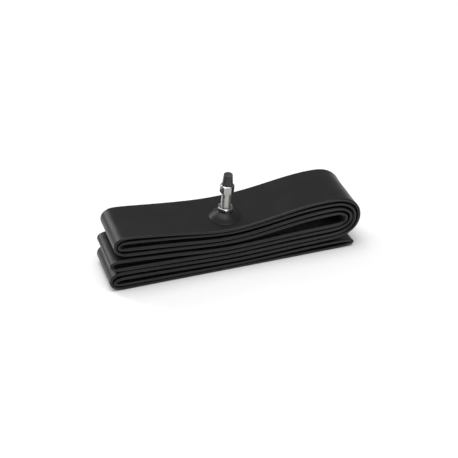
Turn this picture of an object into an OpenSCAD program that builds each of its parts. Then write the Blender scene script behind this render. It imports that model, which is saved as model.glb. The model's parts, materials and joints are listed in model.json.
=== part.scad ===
// Bicycle inner tube folded flat for storage, with its three-piece threaded valve.
// X runs along the folded stack, Y across the flattened tube, Z up. The stack stands on z = 0.

/* [Folded tube] */
// Length of the folded stack, end to end
hank_length = 210; // [170:1:260]
// Width of the tube laid flat
flat_width = 46; // [38:0.1:56]
// Rubber wall
wall = 0.9; // [0.6:0.05:1.2]
// Air left between the two walls of the flattened middle
air = 0.4; // [0.2:0.05:0.6]
// How much the far edge stands above the middle, as a share of the height, along the whole stack
edge_rise = 0.034; // [0:0.001:0.05]
// How much more it stands above the middle at the waist
waist_rise = 0.034; // [0:0.001:0.05]

/* [Valve boot] */
// Where the valve stands along the stack
valve_x = -6; // [-20:1:20]
// Where the valve stands across the tube
valve_y = -5; // [-6:0.5:4]
// Lean of the valve from upright, degrees
valve_lean = 6.5; // [0:0.5:8]
// Direction of that lean, degrees from +X
valve_lean_turn = -68; // [-180:1:180]
// Diameter of the moulded boot at the tube
boot_d = 25.4; // [22:0.1:28]
// Height of the boot
boot_h = 5.3; // [5:0.1:10]
// Rubber round the stem at the boot's top
boot_top_wall = 2; // [1.4:0.1:3]

/* [Valve stem] */
// Thread diameter of the stem
stem_d = 7.8; // [6.5:0.1:9.4]
// Height of the stem's top above the tube
stem_top = 25.4; // [24:0.1:34]
// Bore of the stem
stem_bore = 5.2; // [4.9:0.1:5.5]
// Depth of the flat along the stem
stem_flat = 0.6; // [0.3:0.05:0.8]
// Diameter of the foot that is moulded into the boot
foot_d = 15; // [12:0.5:17]

/* [Nuts] */
// Metal between the thread and the rim nut's flats
rim_nut_wall = 1.5; // [1.2:0.1:2.5]
// Rim nut height
rim_nut_h = 3.6; // [3:0.1:5]
// Metal between the thread and the union nut's flats
union_nut_wall = 1; // [0.7:0.1:2]
// Union nut height
union_nut_h = 7.4; // [6.5:0.1:9]
// Radial play between each nut and the thread
thread_play = 0.05; // [0.03:0.01:0.1]

/* [Valve core] */
// Play round the core's barrel in the stem's bore
barrel_play = 0.2; // [0.15:0.05:0.4]
// Threaded neck that takes the pump and the dust cap
neck_d = 5.6; // [5.2:0.1:6]
// Height of the core above the stem's top
neck_h = 11.8; // [10.5:0.1:12.5]
// Wall of the barrel round the check valve's chamber
chamber_wall = 0.55; // [0.4:0.05:0.65]
// Travel of the check valve
plunger_travel = 0.8; // [0.4:0.1:1]

/* [Dust cap] */
// Cap diameter at its open end
cap_d = 8.7; // [8:0.1:10]
// Cap diameter at its top
cap_top_d = 7.1; // [6.8:0.1:8]
// Height of the cap
cap_h = 9.2; // [8.9:0.1:12]

/* [Hidden] */
$fn = 64;

// Gap that parts of one assembly keep where they sit on each other
seat = 0.1;
// Gap round rubber moulded or pressed onto metal
bond = 0.02;

// Thickness of the flattened middle, and of the edges where the tube turns over sharply
web_thick = 2 * wall + air;
fold_thick = web_thick + 0.1;
// The ten layers of the stack, top to bottom: how much thicker each one's rounded edge is than its middle
edge_swell = [0.2, 0.2, 1, 1, 1.2, 1.2, 1, 0.8, 0.2, 0];
// Gap between the edges of each layer and the next: near the left end, at the waist, near the right end
gap_left = [2.1, 3.7, 1.7, 1.8, 4.2, 0.2, 1.8, 3, 1];
gap_waist = [0.2, 2.6, 0.6, 2.5, 0.6, 1, 1.3, 1.7, 0.2];
gap_right = [1.8, 2.2, 1.4, 8.5, 0.6, 1.6, 0.5, 1.9, 2.7];
// The folds as [upper layer, lower layer, inset of the bend from the stack's end, length of the bend]
folds_left = [[0, 3, 4.9, 9], [1, 2, 7.7, 6], [4, 5, 1, 7], [6, 9, 0, 8], [7, 8, 2.6, 7.5]];
folds_right = [[0, 7, 0.25, 21], [1, 6, 3.9, 17], [2, 5, 7.3, 13.5], [3, 4, 11.3, 9.5], [8, 9, 4.4, 14]];
// The order in which the ring runs through its layers, first to the left, then back to the right
ring_order = [0, 3, 4, 5, 2, 1, 6, 9, 8, 7];
layer_steps = 7;
fold_step = 30;

// Where the stack starts to open out, left and right of the valve, and where it is open in full
waist_left = valve_x - 10;
waist_right = valve_x + 2;
open_left = -hank_length / 2 + 13.7;
open_right = hank_length / 2 - 27.7;
reach = (hank_length - fold_thick) / 2;

function smooth(s) = s * s * (3 - 2 * s);
function left_share(x) = max((waist_left - x) / (waist_left - open_left), 0);
function right_share(x) = smooth(min(max((x - waist_right) / (open_right - waist_right), 0), 1));
function edge_thick(i) = web_thick + edge_swell[i];
function spacing(k, x) = (edge_thick(k) + edge_thick(k + 1)) / 2 + gap_waist[k]
    + (gap_left[k] - gap_waist[k]) * left_share(x)
    + (gap_right[k] - gap_waist[k]) * right_share(x);
function total(list, first) = first < len(list) ? list[first] + total(list, first + 1) : 0;
function layer_height(i, x) =
    edge_thick(9) / 2 + total([for (k = [0:8]) k < i ? 0 : spacing(k, x)], 0);

// The fold that a layer runs into, on one side
function fold_at(folds, i) = [for (f = folds) if (f[0] == i || f[1] == i) f][0];
function left_x(i) = let (f = fold_at(folds_left, i)) -reach + f[2] + f[3];
function right_x(i) = let (f = fold_at(folds_right, i)) reach - f[2] - f[3];

// One layer's own points as [x, z, edge thickness, steps to the next point]
function layer_points(i, to_left) = [
    for (n = [0:layer_steps])
        let (s = to_left ? 1 - n / layer_steps : n / layer_steps, x = left_x(i) + (right_x(i) - left_x(i)) * s)
            [x, layer_height(i, x), edge_thick(i), n == layer_steps ? 2 : 1]
];

// The half ellipse that joins layer i to layer j; a cubic B-spline cuts corners, so its points stand out
function fold_points(i, j, to_left) =
    let (
        f = fold_at(to_left ? folds_left : folds_right, i),
        x0 = to_left ? left_x(i) : right_x(i),
        side = to_left ? -1 : 1,
        zi = layer_height(i, x0),
        zj = layer_height(j, x0),
        big = abs(zi - zj) > 2 * f[3] / 3 && !to_left,
        out = 3 / (2 + cos(fold_step))
    )
    [
        for (a = [fold_step:fold_step:180 - fold_step])
            let (w = a > 1.5 * fold_step && a < 180 - 1.5 * fold_step ? out : 1)
                [
                    x0 + side * f[3] * sin(a) * w,
                    (zi + zj) / 2 + (zi - zj) / 2 * cos(a) * w,
                    big ? fold_thick + 0.5 : fold_thick,
                    2,
                ]
    ];

control = [
    for (k = [0:9])
        let (i = ring_order[k], j = ring_order[(k + 1) % 10], to_left = k % 2 == 0)
            for (p = concat(layer_points(i, to_left), fold_points(i, j, to_left)))
                p
];

// The closed route [x, z, edge thickness], a cubic B-spline through the control points
function bspline(a, b, c, d, t) =
    (pow(1 - t, 3) * a + (3 * pow(t, 3) - 6 * t * t + 4) * b
        + (-3 * pow(t, 3) + 3 * t * t + 3 * t + 1) * c + pow(t, 3) * d) / 6;
function knot(k) = let (p = control[(k + len(control)) % len(control)]) [p[0], p[1], p[2]];
route = [
    for (k = [0:len(control) - 1])
        for (n = [0:control[k][3] - 1])
            bspline(knot(k - 1), knot(k), knot(k + 1), knot(k + 2), n / control[k][3])
];

// The bottom layer is pressed flat by this much where it lies
press = 0.1;
// Half length of the waist, where someone held the stack by its near edge
waist_half = 32;
function rise(x) = edge_rise * (1 + 0.5 * x / 100) + waist_rise * exp(-pow((x - valve_x) / waist_half, 2));
function place(x, y, z) = [x, y, z * (1 + rise(x) * 2 * y / flat_width) - press];
function heading(k) =
    let (n = len(route), d = route[(k + 1) % n] - route[(k + n - 1) % n], f = [d[0], d[1]])
        f / norm(f);
function skin(section) = [
    for (k = [0:len(route) - 1])
        let (h = heading(k), r = route[k])
            for (q = section(r[2]))
                place(r[0] + h[1] * q[1], q[0], r[1] - h[0] * q[1])
];
outer_section = function (t) let (w = flat_width / 2) [
    [w, 0], [w - t / 3, t / 2], [w - 1.2 * t, t / 2], [w - 3 * t, web_thick / 2],
    [-w + 3 * t, web_thick / 2], [-w + 1.2 * t, t / 2], [-w + t / 3, t / 2], [-w, 0],
    [-w + t / 3, -t / 2], [-w + 1.2 * t, -t / 2], [-w + 3 * t, -web_thick / 2],
    [w - 3 * t, -web_thick / 2], [w - 1.2 * t, -t / 2], [w - t / 3, -t / 2],
];
inner_section = function (t) let (w = flat_width / 2 - wall, gap = web_thick - 2 * wall) [
    [w - t / 3, gap / 2], [-w + t / 3, gap / 2], [-w + t / 3, -gap / 2], [w - t / 3, -gap / 2],
];
module swept(section) {
    points = skin(section);
    m = len(section(fold_thick));
    n = len(route);
    faces = [
        for (k = [0:n - 1], i = [0:m - 1])
            let (a = k * m, b = (k + 1) % n * m, j = (i + 1) % m)
                each [[a + i, b + j, b + i], [a + i, a + j, b + j]]
    ];
    polyhedron(points = points, faces = faces, convexity = 12);
}

// The seat of the valve on the top layer: its slopes along X and Y, and its level
boot_r = boot_d / 2;
boot_seat = 0.1;
top_layer = [for (k = [0:layer_steps]) [route[k][0], route[k][1]]];
function top_level(x, y) = place(x, y, lookup(x, top_layer) + web_thick / 2)[2];
seat_left = top_level(valve_x - boot_r, valve_y);
seat_right = top_level(valve_x + boot_r, valve_y);
slope_x = (seat_right - seat_left) / boot_d;
slope_y = (top_level(valve_x, valve_y + boot_r) - top_level(valve_x, valve_y - boot_r)) / boot_d;
function above_slope(x, y) = top_level(valve_x + x, valve_y + y) - slope_x * x - slope_y * y;
seat_level = boot_seat + max([
    for (r = [0:boot_r / 4:boot_r], a = [0:15:345]) above_slope(r * cos(a), r * sin(a))
]);

module on_seat() {
    translate([valve_x, valve_y, seat_level]) rotate([atan(slope_y), -atan(slope_x), 0]) children();
}
module on_valve() {
    translate([valve_x, valve_y, seat_level])
        rotate([0, 0, valve_lean_turn]) rotate([0, valve_lean, 0]) rotate([0, 0, -valve_lean_turn])
            children();
}

// Levels along the valve, from the tube's surface
boot_lip = 0.7;
boot_top_d = stem_d + 2 * boot_top_wall;
foot_base = 1.4;
foot_h = 1;
nut_base = boot_h + seat;
rim_nut_af = stem_d + 2 * rim_nut_wall;
union_nut_af = stem_d + 2 * union_nut_wall;
union_base = stem_top - 3.2;
collar_base = stem_top + 0.6;
collar_h = 0.9;
collar_d = stem_d - 0.9;
shoulder = collar_base + collar_h + seat;
cap_base = union_base + union_nut_h + 2 * seat;
neck_top = stem_top + neck_h;
barrel_d = stem_bore - 2 * barrel_play;
barrel_base = stem_top - 13.6;
chamber_d = barrel_d - 2 * chamber_wall;
chamber_top = barrel_base + 6;
head_d = chamber_d - 0.6;
core_bore = head_d - 0.7;
ring_r = 0.4;
ring_seat_d = head_d - 1.8;
head_h = 1.2;
head_base = chamber_top - seat - plunger_travel - 2 * ring_r - head_h;
cage_base = barrel_base + 0.2;
guide_d = 1.2;
vent_r = chamber_d / 2 - 0.65;
// Depth of the plain ends of the stem under the thread's crest
thread_step = 0.25;
front_turn = -104;

module ring(outer_d, inner_d, base, h) {
    translate([0, 0, base]) difference() {
        cylinder(h = h, d = outer_d);
        translate([0, 0, -1]) cylinder(h = h + 2, d = inner_d);
    }
}

// Hexagon with both ends chamfered, one corner on the local +X axis
module hex_nut(across_flats, h, chamfer) {
    corner = across_flats / cos(30);
    intersection() {
        cylinder(h = h, d = corner, $fn = 6);
        rotate_extrude()
            polygon([
                [0, 0], [corner / 2 - chamfer, 0], [corner / 2, chamfer * 0.6],
                [corner / 2, h - chamfer * 0.6], [corner / 2 - chamfer, h], [0, h],
            ]);
    }
}

// The closed butyl ring, laid flat and folded into ten layers, with the hole that the valve opens into
module tube() {
    color([0.16, 0.16, 0.165]) difference() {
        swept(outer_section);
        swept(inner_section);
        translate([-hank_length, -flat_width, -1]) cube([2 * hank_length, 2 * flat_width, 1]);
        on_valve() translate([0, 0, -boot_seat - web_thick / 2]) cylinder(h = web_thick, d = stem_bore);
    }
}

// Moulded rubber cone that joins the stem to the tube
module valve_boot() {
    color([0.18, 0.18, 0.18]) difference() {
        hull() {
            on_seat() cylinder(h = boot_lip, d1 = boot_d, d2 = boot_d - 1, $fn = 48);
            on_seat() cylinder(h = boot_h * 0.42, d = boot_d * 0.84, $fn = 48);
            on_valve() translate([0, 0, boot_h - 1]) cylinder(h = 1, d = boot_top_d, $fn = 48);
        }
        on_valve() {
            translate([0, 0, -1]) cylinder(h = boot_h + 2, d = stem_d - 2 * thread_step + 2 * bond);
            translate([0, 0, foot_base - bond]) cylinder(h = foot_h + 2 * bond, d = foot_d + 2 * bond);
        }
    }
}

// Brass stem with its foot, its thread at the major diameter and one flat along its front
module valve_stem() {
    end_d = stem_d - 2 * thread_step;
    color([0.72, 0.71, 0.69]) on_valve() difference() {
        union() {
            translate([0, 0, foot_base]) cylinder(h = foot_h, d = foot_d);
            translate([0, 0, boot_lip]) cylinder(h = stem_top - boot_lip, d = end_d);
            translate([0, 0, thread_base]) cylinder(h = thread_h, d = stem_d);
        }
        cylinder(h = stem_top + 1, d = stem_bore);
        rotate([0, 0, front_turn]) translate([stem_d / 2 - stem_flat, -stem_d / 2, nut_base])
            cube([stem_d, stem_d, stem_top]);
    }
}
thread_base = nut_base + rim_nut_h + 2 * seat;
thread_h = union_base - 2 * seat - thread_base;

// Nut that draws the stem down onto the rim
module rim_nut() {
    color([0.75, 0.74, 0.72]) on_valve() translate([0, 0, nut_base]) difference() {
        rotate([0, 0, front_turn]) hex_nut(rim_nut_af, rim_nut_h, 0.8);
        translate([0, 0, -1]) cylinder(h = rim_nut_h + 2, d = stem_d + 2 * thread_play);
    }
}

// Brass core: barrel in the stem, collar under the union nut, threaded neck above it
module core_body() {
    color([0.78, 0.70, 0.50]) on_valve() difference() {
        union() {
            translate([0, 0, barrel_base]) cylinder(h = neck_top - barrel_base, d = barrel_d);
            translate([0, 0, collar_base]) cylinder(h = collar_h, d = collar_d);
            translate([0, 0, collar_base]) cylinder(h = neck_top - collar_base, d = neck_d);
        }
        translate([0, 0, barrel_base - 1]) cylinder(h = neck_top, d = core_bore);
        translate([0, 0, barrel_base - 1]) cylinder(h = chamber_top - barrel_base + 1, d = chamber_d);
    }
}

// Rubber washer that the union nut squeezes between the core's collar and the stem
module core_seal() {
    color([0.1, 0.1, 0.1]) on_valve()
        ring(collar_d, barrel_d + 2 * bond, stem_top + bond, collar_base - stem_top - 2 * bond);
}

// Check pin: a head under the seat and a guide rod below it
module core_plunger() {
    color([0.8, 0.74, 0.55]) on_valve() {
        translate([0, 0, head_base]) cylinder(h = head_h, d = head_d);
        translate([0, 0, head_base + head_h]) cylinder(h = 2 * ring_r, d = ring_seat_d);
        translate([0, 0, barrel_base + 0.4]) cylinder(h = head_base - barrel_base, d = guide_d);
    }
}

// O-ring on the check pin's head
module plunger_ring() {
    color([0.1, 0.1, 0.1]) on_valve() translate([0, 0, head_base + head_h + ring_r])
        rotate_extrude() translate([ring_seat_d / 2 + bond + ring_r, 0]) circle(r = ring_r - bond);
}

// Brass cage pressed into the chamber's mouth, which guides the check pin and lets the air past
module core_cage() {
    color([0.8, 0.74, 0.55]) on_valve() difference() {
        ring(chamber_d - 2 * bond, guide_d + 0.16, cage_base, head_base - seat - cage_base);
        for (turn = [0:120:240])
            rotate([0, 0, turn]) translate([vent_r, 0, cage_base - 1]) cylinder(h = 6, d = 0.6, $fn = 32);
    }
}

// Union nut that clamps the core onto the stem
module union_nut() {
    color([0.75, 0.74, 0.72]) on_valve() translate([0, 0, union_base]) difference() {
        rotate([0, 0, front_turn + 30]) hex_nut(union_nut_af, union_nut_h, 0.9);
        translate([0, 0, -1]) cylinder(h = shoulder - union_base + 1, d = stem_d + 2 * thread_play);
        cylinder(h = union_nut_h + 1, d = neck_d + 4 * thread_play);
    }
}

// Black dust cap over the neck
module dust_cap() {
    edge = 0.6;
    color([0.1, 0.1, 0.1]) on_valve() translate([0, 0, cap_base]) difference() {
        rotate_extrude()
            polygon([
                [0, 0], [cap_d / 2, 0], [cap_top_d / 2, cap_h - edge],
                for (a = [15:15:90]) [cap_top_d / 2 - edge * (1 - cos(a)), cap_h - edge + edge * sin(a)],
                [0, cap_h],
            ]);
        translate([0, 0, -1]) cylinder(h = neck_top - cap_base + 0.5 + 1, d = neck_d + 4 * thread_play);
    }
}

tube();
valve_boot();
valve_stem();
rim_nut();
core_body();
core_seal();
core_plunger();
plunger_ring();
core_cage();
union_nut();
dust_cap();
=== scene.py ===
import json
import math

import bpy
import numpy as np
from mathutils import Matrix, Vector, noise


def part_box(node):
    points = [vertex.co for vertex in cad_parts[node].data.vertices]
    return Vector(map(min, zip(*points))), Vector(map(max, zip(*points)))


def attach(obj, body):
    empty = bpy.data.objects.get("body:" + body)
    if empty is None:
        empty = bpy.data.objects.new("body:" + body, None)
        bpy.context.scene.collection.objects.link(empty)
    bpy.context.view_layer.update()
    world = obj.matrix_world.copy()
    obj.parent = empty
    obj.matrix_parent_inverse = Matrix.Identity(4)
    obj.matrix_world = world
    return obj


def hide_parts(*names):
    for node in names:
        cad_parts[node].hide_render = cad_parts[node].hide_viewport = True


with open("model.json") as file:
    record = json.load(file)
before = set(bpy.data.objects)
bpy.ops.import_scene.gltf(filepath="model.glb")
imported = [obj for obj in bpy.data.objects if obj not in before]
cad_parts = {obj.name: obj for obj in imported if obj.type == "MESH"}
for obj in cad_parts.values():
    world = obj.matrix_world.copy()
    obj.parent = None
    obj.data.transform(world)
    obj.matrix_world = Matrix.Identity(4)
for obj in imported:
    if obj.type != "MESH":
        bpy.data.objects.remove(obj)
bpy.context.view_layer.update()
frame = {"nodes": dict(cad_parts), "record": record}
mm = 0.001

# Inner tube. One closed butyl ring, extruded as a hose and spliced, then emptied of air, laid flat and
# folded into ten layers. Its two edges don't crease: they stay open as soft beads, and where the folds
# bulge at the ends of the stack the layers spread apart.
tube_low, tube_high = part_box("tube")
hank_length = tube_high.x - tube_low.x
flat_width = tube_high.y - tube_low.y
wall = 0.9 * mm
air = 0.4 * mm
web = 2 * wall + air
fold_thick = web + 0.1 * mm
press = 0.1 * mm
# A layer rises to its far edge and drops to its near one by this share of its height, which grows to
# the right, and by one more share at the waist under the valve
edge_rise = 0.034
rise_growth = 0.5 / (100 * mm)
waist_rise = 0.034
waist_half = 32 * mm
sway_depth = 0.25 * mm
ripple_depth = 0.2 * mm
fold_swell = 0.5 * mm
knots_per_layer = 8
steps_per_knot = 10

# Top to bottom: how much thicker each layer's bead is than its middle, and the gaps between the beads
edge_swell = np.array([0.2, 0.2, 1, 1, 1.2, 1.2, 1, 0.8, 0.2, 0]) * mm
gap_left = np.array([2.1, 3.7, 1.7, 1.8, 4.2, 0.2, 1.8, 3, 1]) * mm
gap_waist = np.array([0.2, 2.6, 0.6, 2.5, 0.6, 1, 1.3, 1.7, 0.2]) * mm
gap_right = np.array([1.8, 2.2, 1.4, 8.5, 0.6, 1.6, 0.5, 1.9, 2.7]) * mm
# The folds at each end: upper layer, lower layer, inset from the stack's end and length, in millimetres
folds = {
    -1: [(0, 3, 4.9, 9), (1, 2, 7.7, 6), (4, 5, 1, 7), (6, 9, 0, 8), (7, 8, 2.6, 7.5)],
    1: [(0, 7, 0.25, 21), (1, 6, 3.9, 17), (2, 5, 7.3, 13.5), (3, 4, 11.3, 9.5), (8, 9, 4.4, 14)],
}
ring_order = [0, 3, 4, 5, 2, 1, 6, 9, 8, 7]

# The valve's axis comes from the interface that it offers to the rim: the middle of its bare thread
pin_level = 15.6 * mm
rim_hole = next(m for m in frame["record"]["mounts"] if m["name"] == "rim_hole_stem")
valve_axis = Vector(rim_hole["axis"]).normalized()
valve_foot = Vector(rim_hole["pos_m"]) - valve_axis * pin_level

# The layers are closest between the two waist places, and have the end gaps at the two open ones
waist_left = valve_foot.x - 10 * mm
waist_right = valve_foot.x + 2 * mm
open_left = 13.7 * mm - hank_length / 2
open_right = hank_length / 2 - 27.7 * mm
reach = (hank_length - fold_thick) / 2


def smooth(share):
    share = np.clip(share, 0, 1)
    return share * share * (3 - 2 * share)


def layer_height(layer, x):
    """Height of the middle of a layer above the surface that the stack lies on."""
    left = max((waist_left - x) / (waist_left - open_left), 0)
    right = smooth((x - waist_right) / (open_right - waist_right))
    gaps = gap_waist + (gap_left - gap_waist) * left + (gap_right - gap_waist) * right
    spacing = web + (edge_swell[:-1] + edge_swell[1:]) / 2 + gaps
    return (web + edge_swell[-1]) / 2 + spacing[layer:].sum()


def fold_of(layer, side):
    return next(fold for fold in folds[side] if layer in fold[:2])


def layer_end(layer, side):
    inset, length = fold_of(layer, side)[2:]
    return side * (reach - (inset + length) * mm)


def layer_knots(layer, side):
    """The points (x, height, bead) that steer one layer on its way to the left, -1, or right, 1."""
    places = np.linspace(layer_end(layer, -side), layer_end(layer, side), knots_per_layer)
    return [(x, layer_height(layer, x), web + edge_swell[layer]) for x in places]


def fold_knots(layer, following, side):
    """The half ellipse of points that turns one layer over into the following one."""
    length = fold_of(layer, side)[3] * mm
    x = layer_end(layer, side)
    top, bottom = layer_height(layer, x), layer_height(following, x)
    wide_open = side > 0 and abs(top - bottom) > 2 * length / 3
    bead = fold_thick + (fold_swell if wide_open else 0)
    points = []
    for degrees in range(30, 180, 30):
        turn = math.radians(degrees)
        # A spline cuts inside its knots, so the three at the tip stand out by as much
        stretch = 3 / (2 + math.cos(math.radians(30))) if 45 < degrees < 135 else 1
        height = (top + bottom) / 2 + (top - bottom) / 2 * math.cos(turn) * stretch
        points.append((x + side * length * math.sin(turn) * stretch, height, bead))
    return points


knots = []
for step, layer in enumerate(ring_order):
    following = ring_order[(step + 1) % len(ring_order)]
    side = -1 if step % 2 == 0 else 1
    knots += layer_knots(layer, side) + fold_knots(layer, following, side)
knots = np.array(knots)


def along_ring(t):
    """Place (x, height, bead) and heading (dx, dz) on the closed cubic spline through the knots."""
    first = np.floor(t).astype(int)
    f = (t - first)[:, None]
    a, b, c, d = (knots[(first + shift) % len(knots)] for shift in (-1, 0, 1, 2))
    spot = (1 - f) ** 3 * a + (3 * f**3 - 6 * f**2 + 4) * b
    spot = spot + (3 * f + 3 * f**2 - 3 * f**3 + 1) * c + f**3 * d
    slope = (3 * f**2 - 4 * f) * b + (1 + 2 * f - 3 * f**2) * c + f**2 * d - (1 - f) ** 2 * a
    heading = slope[:, :2] / np.linalg.norm(slope[:, :2], axis=1)[:, None]
    return spot / 6, heading


def hose_section():
    """The flattened hose cut across, as shares of (half width, bead) across and (bead, web) outwards."""
    bead = [(1, (math.cos(a) - 1) / 2, math.sin(a) / 2, 0) for a in np.radians(range(0, 91, 15))]
    slope = [(1, -0.5 - 2.5 * s, (1 - smooth(s)) / 2, smooth(s) / 2) for s in np.arange(1, 7) / 6]
    flat = [(1 - s, 3 * s - 3, 0, 0.5) for s in np.arange(1, 5) / 4]
    quarter = np.array(bead + slope + flat)
    back, under = np.array([-1, -1, 1, 1]), np.array([1, 1, -1, -1])
    upper = [quarter, quarter[-2::-1] * back]
    lower = [quarter[1:] * back * under, quarter[-2:0:-1] * under]
    return np.vstack(upper + lower)


def select_none():
    if bpy.context.mode != "OBJECT":
        bpy.ops.object.mode_set(mode="OBJECT")
    bpy.ops.object.select_all(action="DESELECT")


def close_shell(piece):
    """Merges a shell's doubles and turns its faces outwards."""
    bpy.ops.object.mode_set(mode="EDIT")
    bpy.ops.mesh.select_all(action="SELECT")
    bpy.ops.mesh.remove_doubles(threshold=0.001 * mm)
    bpy.ops.mesh.normals_make_consistent(inside=False)
    bpy.ops.object.mode_set(mode="OBJECT")


def grid_to_close(name, steps, columns):
    """A grid that is to be closed both ways, with each point's share of the steps and its column."""
    select_none()
    bpy.ops.mesh.primitive_grid_add(x_subdivisions=steps, y_subdivisions=columns, size=2)
    piece = bpy.context.object
    piece.name = name
    grid = np.empty(len(piece.data.vertices) * 3)
    piece.data.vertices.foreach_get("co", grid)
    grid = (grid.reshape(-1, 3) + 1) / 2
    return piece, grid[:, 0] % 1, np.round(grid[:, 1] * columns).astype(int) % columns


def make_tube():
    around = hose_section()
    tube, share, column = grid_to_close("folded_tube", steps_per_knot * len(knots), len(around))
    spot, heading = along_ring(share * len(knots))
    x, height, bead = spot.T
    wide, bead_in, bead_out, web_out = around[column].T
    # Each layer sways a little sideways, and its middle is never quite flat
    sway = np.array([noise.noise(Vector((40 * s, 0, 5))) for s in share])
    ripple = np.array([noise.noise(Vector((90 * s, 2 * w, 0))) for s, w in zip(share, wide)])
    across = wide * (flat_width / 2 - sway_depth) + bead_in * bead + sway_depth * sway
    outwards = bead_out * bead + web_out * (web + ripple_depth * ripple)
    x, height = x + heading[:, 1] * outwards, height - heading[:, 0] * outwards
    waist = np.exp(-(((x - valve_foot.x) / waist_half) ** 2))
    rise = edge_rise * (1 + rise_growth * x) + waist_rise * waist
    height = np.maximum(height * (1 + rise * 2 * across / flat_width) - press, 0)
    tube.data.vertices.foreach_set("co", np.column_stack([x, across, height]).ravel())
    close_shell(tube)
    bpy.ops.object.shade_smooth()
    return tube


class Signal:
    """A socket in a material's node tree. Sums and products of signals add their Math nodes."""

    def __init__(self, tree, socket=None):
        self.tree = tree
        self.socket = socket

    def node(self, kind, settings, sockets, output=0):
        made = self.tree.nodes.new("ShaderNode" + kind)
        for name, value in settings.items():
            setattr(made, name, value)
        for name, value in sockets.items():
            if isinstance(value, Signal):
                self.tree.links.new(value.socket, made.inputs[name])
            else:
                made.inputs[name].default_value = value
        return Signal(self.tree, made.outputs[output])

    def math(self, operation, first, second, clamp=False):
        return self.node("Math", {"operation": operation, "use_clamp": clamp}, {0: first, 1: second})

    def __add__(self, other):
        return self.math("ADD", self, other)

    __radd__ = __add__

    def __sub__(self, other):
        return self.math("SUBTRACT", self, other)

    def __rsub__(self, other):
        return self.math("SUBTRACT", other, self)

    def __mul__(self, other):
        return self.math("MULTIPLY", self, other)

    __rmul__ = __mul__

    def __truediv__(self, other):
        return self.math("DIVIDE", self, other)

    def clamped(self):
        return self.math("ADD", self, 0, clamp=True)

    def place(self):
        """Object coordinates, in metres."""
        return self.node("TexCoord", {}, {}, "Object")

    def cloud(self, where, scale, detail):
        """Soft noise from 0 to 1, with scale in patches per metre."""
        return self.node("TexNoise", {}, {"Vector": where, "Scale": scale, "Detail": detail})

    def blend(self, share, first, second):
        """A colour that goes from first to second as share goes from 0 to 1."""
        return self.node("Mix", {"data_type": "RGBA"}, {0: share, 6: first, 7: second}, 2)

    def bump(self, height, depth, strength):
        return self.node("Bump", {}, {"Strength": strength, "Distance": depth, "Height": height}, "Normal")


def finish_material(name, constants):
    """A material whose shader has those constants; returns it, its first signal and its shader."""
    material = bpy.data.materials.new(name)
    material.use_nodes = True
    shader = material.node_tree.nodes["Principled BSDF"]
    for socket, value in constants.items():
        shader.inputs[socket].default_value = value
    return material, Signal(material.node_tree), shader


def feed(shader, **signals):
    for name, signal in signals.items():
        socket = shader.inputs[name.replace("_", " ")]
        signal.tree.links.new(signal.socket, socket)


def butyl_rubber():
    """Cured butyl: nearly black, satin, with faint extrusion lines along the hose and a trace of talc."""
    material, start, shader = finish_material("butyl_rubber", {"Specular IOR Level": 0.3})
    place = start.place()
    bloom = start.cloud(place, 45, 3)
    talc = start.cloud(place, 900, 4)
    grain = start.cloud(place, 3200, 2)
    hose = start.node("UVMap", {}, {})
    stretched = start.node("VectorMath", {"operation": "MULTIPLY"}, {0: hose, 1: (60, 170, 1)})
    lines = start.node("TexNoise", {}, {"Vector": stretched, "Scale": 1, "Detail": 3})
    dusty = (bloom * talc - 0.2).clamped() * 1.6
    colour = start.blend(dusty.clamped(), (0.0095, 0.0095, 0.0098, 1), (0.021, 0.021, 0.0215, 1))
    relief = start.bump(grain * 0.35 + lines * 0.65, 0.03 * mm, 0.6)
    feed(shader, Base_Color=colour, Roughness=0.28 + 0.12 * bloom + 0.05 * talc, Normal=relief)
    return material


tube = make_tube()
butyl = butyl_rubber()
tube.data.materials.append(butyl)
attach(tube, "root")
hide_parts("tube")

# Valve boot. A rubber cone moulded round the stem's foot and vulcanised to the tube: thin and flexible
# at its feathered rim, which follows the tube, and thick where the brass comes out of it.
# All sizes of the valve's parts are in millimetres: radii from its axis, and levels above its foot
boot_top = 5.3
boot_outline = [
    (3.67, 0.02), (8, 0.02), (12.6, 0.02), (12.7, 0.16), (12.5, 0.42), (12.05, 0.75), (11.6, 1.15),
    (11.05, 1.65), (10.35, 2.25), (9.4, 2.95), (8.3, 3.65), (7.25, 4.25), (6.45, 4.75), (6.1, 5.0),
    (5.75, 5.23), (5.2, boot_top), (3.67, boot_top), (3.67, 0.02),
]
lathe_steps = 96
valve_turn = Vector((0, 0, 1)).rotation_difference(valve_axis).to_matrix().to_4x4()
valve_frame = Matrix.Translation(valve_foot) @ valve_turn


def turned(name, outline):
    """A part turned on the local Z axis from the outline of its half section, (radius, level) in mm.

    The outline ends where it starts, or has both its ends on the axis.
    """
    select_none()
    bpy.ops.mesh.primitive_plane_add(size=mm)
    piece = bpy.context.object
    piece.name = name
    bpy.ops.object.mode_set(mode="EDIT")
    bpy.ops.mesh.merge(type="CENTER")
    bpy.ops.transform.translate(value=(outline[0][0] * mm, 0, outline[0][1] * mm))
    for here, there in zip(outline, outline[1:]):
        move = ((there[0] - here[0]) * mm, 0, (there[1] - here[1]) * mm)
        bpy.ops.mesh.extrude_vertices_move(TRANSFORM_OT_translate={"value": move})
    bpy.ops.mesh.select_all(action="SELECT")
    bpy.ops.mesh.spin(steps=lathe_steps, angle=math.tau, center=(0, 0, 0), axis=(0, 0, 1))
    close_shell(piece)
    return piece


def add_modifier(piece, kind, **settings):
    """Adds one modifier to a piece, sets it and applies it."""
    select_none()
    piece.select_set(True)
    bpy.context.view_layer.objects.active = piece
    bpy.ops.object.modifier_add(type=kind)
    modifier = piece.modifiers[-1]
    for name, value in settings.items():
        setattr(modifier, name, value)
    bpy.ops.object.modifier_apply(modifier=modifier.name)


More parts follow.
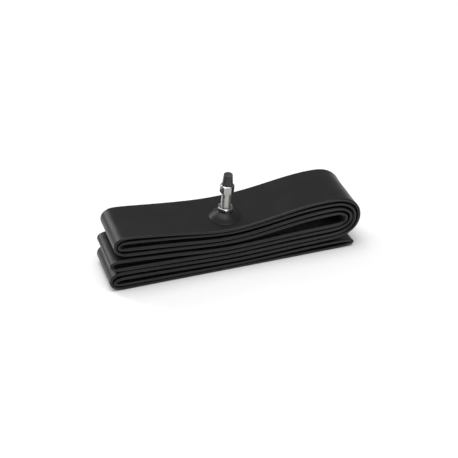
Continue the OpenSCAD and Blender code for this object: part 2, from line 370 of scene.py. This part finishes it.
def ease_edges(piece, width, segments, degrees):
    """Rounds the edges that turn by more than that many degrees."""
    turn = math.radians(degrees)
    add_modifier(piece, "BEVEL", width=width, segments=segments, limit_method="ANGLE", angle_limit=turn)


def make_boot():
    """The cone stands on the valve's axis at its top, and is draped over the tube at its foot."""
    boot = turned("boot_cone", boot_outline)
    ease_edges(boot, 0.12 * mm, 2, 50)
    bpy.context.view_layer.update()
    for vertex in boot.data.vertices:
        local = vertex.co.copy()
        above = Vector((valve_foot.x + local.x, valve_foot.y + local.y, 2 * tube_high.z))
        found, surface = tube.ray_cast(above, Vector((0, 0, -1)))[:2]
        draped = surface + Vector((0, 0, local.z)) if found else valve_frame @ local
        vertex.co = draped.lerp(valve_frame @ local, float(smooth(local.z / (boot_top * mm))))
    bpy.ops.object.shade_smooth_by_angle(angle=math.radians(50))
    return boot


boot = make_boot()
boot.data.materials.append(butyl)
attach(boot, "root")
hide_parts("valve_boot")

# Valve stem. Brass turned on a lathe and nickel plated: a round foot that the boot is moulded over, a
# rolled thread of 32 turns to the inch, one flat milled along its front, and a bore for the core.
seat = 0.1
stem_r = 3.9
stem_top = 25.4
stem_end_r = 3.65
bore_r = 2.6
foot_r = 7.5
rim_nut_base = boot_top + seat
thread_root = 3.47
inch = 25.4
thread_pitch = inch / 32
thread_low = rim_nut_base + 2 * seat
thread_high = stem_top - 0.5
# A tooth's half crest and each of its flanks, as shares of the pitch
half_crest = 0.07
flank = 0.36
rows_per_turn = 10
sleeve_r = 3
flat_at = 3.3
front_turn = math.radians(-104)


def threaded_sleeve(name, low, high):
    """A closed sleeve with a helical thread outside and one flat milled along it, levels in mm."""
    rows = math.ceil((high - low) / thread_pitch * rows_per_turn)
    sleeve, share, row = grid_to_close(name, lathe_steps, rows + 3)
    angle = math.tau * share
    level = np.where(row == 0, low, low + (high - low) * np.clip((row - 1) / rows, 0, 1))
    phase = (level / thread_pitch - share) % 1
    tooth = np.clip((half_crest + flank - abs(phase - 0.5)) / flank, 0, 1)
    radius = thread_root + (stem_r - thread_root) * tooth
    # The thread runs out at both ends, and the flat takes its front away
    radius = np.minimum(radius, sleeve_r + 0.35 + np.minimum(level - low, high - level))
    radius = np.minimum(radius, flat_at / np.maximum(np.cos(angle - front_turn), 0.5))
    # The first row and the last one close the sleeve along its inside
    radius = np.where((row == 0) | (row == rows + 2), sleeve_r, radius)
    spots = np.column_stack([radius * np.cos(angle), radius * np.sin(angle), level]) * mm
    sleeve.data.vertices.foreach_set("co", spots.ravel())
    close_shell(sleeve)
    return sleeve


def stand_on_valve(piece):
    """Moves a part from the local Z axis onto the valve's axis, with its place in its mesh."""
    select_none()
    piece.select_set(True)
    bpy.context.view_layer.objects.active = piece
    piece.matrix_world = valve_frame
    bpy.ops.object.transform_apply(location=True, rotation=True, scale=True)


def make_stem():
    sleeve = threaded_sleeve("stem_thread", thread_low, thread_high)
    inner_r = sleeve_r + 0.2
    body = turned("valve_stem_turned", [
        (bore_r, 0.7), (foot_r - 0.3, 0.7), (foot_r, 1.4), (foot_r, 2.4), (stem_end_r, 2.4),
        (stem_end_r, thread_low - 0.1), (inner_r, thread_low + 0.3), (inner_r, thread_high - 0.2),
        (stem_end_r, thread_high - 0.1), (stem_end_r, stem_top - 0.25), (stem_end_r - 0.25, stem_top),
        (bore_r + 0.15, stem_top), (bore_r, stem_top - 0.2), (bore_r, 0.7),
    ])
    select_none()
    sleeve.select_set(True)
    body.select_set(True)
    bpy.context.view_layer.objects.active = body
    bpy.ops.object.join()
    bpy.ops.object.shade_smooth_by_angle(angle=math.radians(35))
    stand_on_valve(body)
    return body


def from_foot(place):
    """The way from the valve's foot to each point of the surface, in metres."""
    return place.node("VectorMath", {"operation": "SUBTRACT"}, {0: place, 1: valve_foot})


def along(way, direction):
    """How far a way leads in that direction."""
    return way.node("VectorMath", {"operation": "DOT_PRODUCT"}, {0: way, 1: direction}, "Value")


def axis_distance(way):
    """How far a way leads out from the valve's axis."""
    side = way.node("VectorMath", {"operation": "CROSS_PRODUCT"}, {0: way, 1: valve_axis})
    return way.node("VectorMath", {"operation": "LENGTH"}, {0: side}, "Value")


def nickel_plate(name, crest):
    """Nickel on brass: plain plate on the crests, painted shade in the thread's roots and the bore, random
    tarnish, finely scratched.
    """
    material, start, shader = finish_material(name, {})
    place = start.place()
    way = from_foot(place)
    out = axis_distance(way)
    front = valve_turn @ Vector((math.cos(front_turn), math.sin(front_turn), 0))
    # The milled flat is matt and paler; the nuts stand further out and keep their bright faces
    edge = 0.05 * mm
    root_shade_depth = 0.38 * mm
    milled = ((along(way, front) - (flat_at - 0.08) * mm) / edge).clamped()
    milled = milled * (((stem_r + 0.1) * mm - out) / edge).clamped()
    # The thread's roots, and everything nearer the axis, are painted darker: painted shade in the hollows
    root = (1 - (out - thread_root * mm) / root_shade_depth).clamped() * (1 - milled)
    tarnish = start.cloud(place, 420, 4)
    brushed = start.node("VectorMath", {"operation": "MULTIPLY"}, {0: place, 1: (300, 300, 9000)})
    scratch = start.node("TexNoise", {}, {"Vector": brushed, "Scale": 1, "Detail": 2})
    # Painted shade in the roots and real random tarnish darken the plate together
    tarnish_and_root_shade = (root * 0.95 + (tarnish - 0.52).clamped() * 1.2).clamped()
    plated = start.blend(tarnish_and_root_shade, crest, (0.03, 0.028, 0.025, 1))
    colour = start.blend(milled, plated, (0.5, 0.49, 0.47, 1))
    feed(
        shader, Base_Color=colour, Metallic=1 - 0.65 * milled,
        Roughness=0.2 + 0.28 * tarnish_and_root_shade + 0.3 * milled + 0.08 * scratch,
        Normal=start.bump(scratch, 0.006 * mm, 0.5),
    )
    return material


stem = make_stem()
stem.data.materials.append(nickel_plate("stem_plate", (0.3, 0.295, 0.285, 1)))
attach(stem, "root")
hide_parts("valve_stem")

# Rim nut. A thin hexagon cut from brass bar, drilled, countersunk, chamfered on both faces and nickel
# plated. It runs on the stem's thread, and on a wheel it draws the stem to the rim.
rim_nut_across = 10.8
rim_nut_h = 3.6
thread_clear = stem_r + 0.05
rim_nut_sink_r = thread_clear + 1.5
drill_past = 1


def cut(piece, tool, operation):
    """Cuts one part with another, and throws the cutter away."""
    add_modifier(piece, "BOOLEAN", object=tool, operation=operation, solver="EXACT")
    bpy.data.objects.remove(tool)


def hex_nut(name, across, base, height, corner_turn, hole, chamfer):
    """A nut cut from hexagon bar, chamfered on a lathe, drilled and eased.

    The hole is its wall's outline from below to above the nut, (radius, level) in mm.
    """
    corner = across / 2 / math.cos(math.pi / 6)
    select_none()
    bpy.ops.mesh.primitive_cylinder_add(
        vertices=6, radius=corner * mm, depth=height * mm, location=(0, 0, (base + height / 2) * mm),
        rotation=(0, 0, corner_turn - math.pi / 2),
    )
    nut = bpy.context.object
    nut.name = name
    bpy.ops.object.transform_apply(location=True, rotation=True, scale=True)
    outer = corner + 0.2
    low = base + 0.6 * chamfer
    high = base + height - 0.6 * chamfer
    lathe = turned("lathe", [
        (0, base), (corner - chamfer, base), (corner, low), (outer, low + 0.2), (outer, high - 0.2),
        (corner, high), (corner - chamfer, base + height), (0, base + height), (0, base),
    ])
    cut(nut, lathe, "INTERSECT")
    below, above = (0, hole[0][1]), (0, hole[-1][1])
    cut(nut, turned("drill", [below, *hole, above, below]), "DIFFERENCE")
    ease_edges(nut, 0.13 * mm, 3, 28)
    bpy.ops.object.shade_smooth_by_angle(angle=math.radians(30))
    stand_on_valve(nut)
    return nut


rim_nut_top = rim_nut_base + rim_nut_h
rim_nut_hole = [
    (rim_nut_sink_r, rim_nut_base - drill_past), (thread_clear, rim_nut_base + 0.45),
    (thread_clear, rim_nut_top - 0.45), (rim_nut_sink_r, rim_nut_top + drill_past),
]
rim_nut = hex_nut("rim_nut_hex", rim_nut_across, rim_nut_base, rim_nut_h, front_turn, rim_nut_hole, 1.1)
nut_plate = nickel_plate("nut_plate", (0.37, 0.365, 0.355, 1))
rim_nut.data.materials.append(nut_plate)
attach(rim_nut, "rim_nut")
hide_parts("rim_nut")

# Core. Its turned brass barrel, check pin and cage and its two rubber seals keep the shapes they have,
# and take the look of bare machined brass and of moulded nitrile.


def bare_brass():
    """Machined brass, browned a little by age, with fine turning marks round the valve's axis."""
    material, start, shader = finish_material("bare_brass", {"Metallic": 1})
    place = start.place()
    age = start.cloud(place, 500, 3)
    turning = start.node("VectorMath", {"operation": "MULTIPLY"}, {0: place, 1: (400, 400, 12000)})
    marks = start.node("TexNoise", {}, {"Vector": turning, "Scale": 1, "Detail": 2})
    colour = start.blend(age, (0.78, 0.6, 0.3, 1), (0.5, 0.35, 0.15, 1))
    feed(
        shader, Base_Color=colour, Roughness=0.22 + 0.2 * age + 0.08 * marks,
        Normal=start.bump(marks, 0.008 * mm, 0.5),
    )
    return material


def seal_rubber():
    """Nitrile rubber, matt black with a fine moulded grain."""
    material, start, shader = finish_material("seal_rubber", {"Specular IOR Level": 0.35})
    grain = start.cloud(start.place(), 5000, 3)
    colour = start.blend(grain, (0.012, 0.012, 0.013, 1), (0.03, 0.03, 0.032, 1))
    feed(shader, Base_Color=colour, Roughness=0.55 + 0.2 * grain, Normal=start.bump(grain, 0.02 * mm, 0.4))
    return material


def repaint(names, material):
    for name in names:
        for slot in frame["nodes"][name].material_slots:
            slot.material = material


repaint(["core_body", "core_plunger", "core_cage"], bare_brass())
repaint(["core_seal", "plunger_ring"], seal_rubber())

# Union nut. A taller plated hexagon that screws onto the stem and clamps the core's collar under its
# shoulder, so its hole is wide below and narrow above.
union_nut_across = 9.8
union_nut_base = stem_top - 3.2
union_nut_h = 7.4
union_nut_top = union_nut_base + union_nut_h
union_nut_turn = front_turn + math.pi / 6
shoulder = stem_top + 1.6
neck_clear = 2.9
union_nut_hole = [
    (thread_clear + 0.95, union_nut_base - drill_past), (thread_clear, union_nut_base + 0.35),
    (thread_clear, shoulder), (neck_clear, shoulder), (neck_clear, union_nut_top - 0.3),
    (neck_clear + 0.5, union_nut_top + 0.2), (neck_clear + 0.5, union_nut_top + drill_past),
]
union_nut = hex_nut(
    "union_nut_hex", union_nut_across, union_nut_base, union_nut_h, union_nut_turn, union_nut_hole, 1.25,
)
union_nut.data.materials.append(nut_plate)
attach(union_nut, "union_nut")
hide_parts("union_nut")

# Dust cap. Injection-moulded black plastic: a tapered thimble with a thin bead round its mouth, a
# rounded crown that is slightly dished, and the small scar of its gate in the middle.
cap_base = union_nut_top + 2 * seat
cap_r = 4.35
cap_hole_h = 7.9
crown_from = 8.6
cap_outline = [
    (0, cap_hole_h), (neck_clear - 0.3, cap_hole_h), (neck_clear, cap_hole_h - 0.3), (neck_clear, 0),
    (cap_r - 0.1, 0), (cap_r, 0.1), (cap_r, 0.65), (4.22, 0.85), (4.16, 1.1), (3.85, 4.8), (3.56, 8.5),
    (3.5, 8.78), (3.36, 9.0), (3.18, 9.14), (2.95, 9.2), (2.6, 9.16), (2.3, 9.02),
    (0.55, 8.98), (0.5, 9.06), (0, 9.06),
]


def moulded_plastic():
    """Black polypropylene: a soft gloss, a light spark-eroded grain, a few rubbed places, and a crown
    painted lighter as painted light on the top.
    """
    material, start, shader = finish_material("moulded_plastic", {})
    place = start.place()
    grain = start.cloud(place, 4200, 2)
    level = along(from_foot(place), valve_axis)
    # The crown above the taper is painted lighter: painted light on the cap's top
    lit_crown = ((level - (cap_base + crown_from) * mm) / (0.5 * mm)).clamped()
    # Random rubbed places are real wear; the painted light of the crown is added to them
    rubbed_and_lit_crown = (start.cloud(place, 260, 4) - 0.5).clamped() * 2 + 0.8 * lit_crown
    colour = start.blend(rubbed_and_lit_crown.clamped(), (0.006, 0.006, 0.0065, 1), (0.045, 0.045, 0.046, 1))
    feed(
        shader, Base_Color=colour, Roughness=0.22 + 0.1 * grain + 0.1 * rubbed_and_lit_crown,
        Normal=start.bump(grain, 0.012 * mm, 0.5),
    )
    return material


cap = turned("dust_cap_moulded", [(radius, cap_base + level) for radius, level in cap_outline])
bpy.ops.object.shade_smooth_by_angle(angle=math.radians(40))
stand_on_valve(cap)
cap.data.materials.append(moulded_plastic())
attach(cap, "dust_cap")
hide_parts("dust_cap")

# Studio. The folded tube lies on a wide sheet of white paper under soft boxes, and the camera looks
# down on its front and its left end from a little over 0.8 m away, through a long lens.
paper_size = 60
paper_level = -0.02 * mm
look_at = Vector((0, 0, 19.65 * mm))
camera_distance = 825.3 * mm
camera_height = math.radians(32)
camera_turn = math.radians(19.19)


def white_paper():
    material, start, shader = finish_material("white_paper", {"Roughness": 0.9, "Specular IOR Level": 0.1})
    fibre = start.cloud(start.place(), 800, 3)
    feed(shader, Base_Color=start.blend(fibre, (0.93, 0.93, 0.93, 1), (0.96, 0.96, 0.96, 1)))
    return material


def soft_box(name, size, place, power):
    select_none()
    bpy.ops.object.light_add(type="AREA", location=place)
    lamp = bpy.context.object
    lamp.name = name
    lamp.data.shape = "RECTANGLE"
    lamp.data.size, lamp.data.size_y = size
    lamp.data.energy = power
    lamp.visible_camera = False
    lamp.rotation_euler = (look_at - Vector(place)).to_track_quat("-Z", "Y").to_euler()


select_none()
bpy.ops.mesh.primitive_plane_add(size=paper_size, location=(0, 0, paper_level))
paper = bpy.context.object
paper.name = "paper"
paper.data.materials.append(white_paper())

world = bpy.data.worlds.new("studio")
world.use_nodes = True
background = world.node_tree.nodes["Background"]
background.inputs["Color"].default_value = (1, 1, 1, 1)
background.inputs["Strength"].default_value = 0.3
bpy.context.scene.world = world
# Lit paper is left to run up to pure white
bpy.context.scene.view_settings.view_transform = "Standard"

soft_box("overhead", (4.8, 3.0), (-0.3, -0.3, 4.5), 189)
soft_box("back_left", (0.5, 0.9), (-0.75, 1.05, 0.75), 6)
soft_box("front_right", (0.25, 0.3), (0.42, -0.68, 0.17), 1.1)

select_none()
level_share = math.cos(camera_height)
toward = Vector((
    -math.sin(camera_turn) * level_share, -math.cos(camera_turn) * level_share, math.sin(camera_height),
))
bpy.ops.object.camera_add(location=look_at + toward * camera_distance)
camera = bpy.context.object
camera.rotation_euler = (-toward).to_track_quat("-Z", "Y").to_euler()
camera.data.sensor_width = 36
camera.data.lens = 80.489
camera.data.shift_x = -0.001747
camera.data.shift_y = 0.007424
camera.data.clip_start = 0.05
bpy.context.scene.camera = camera
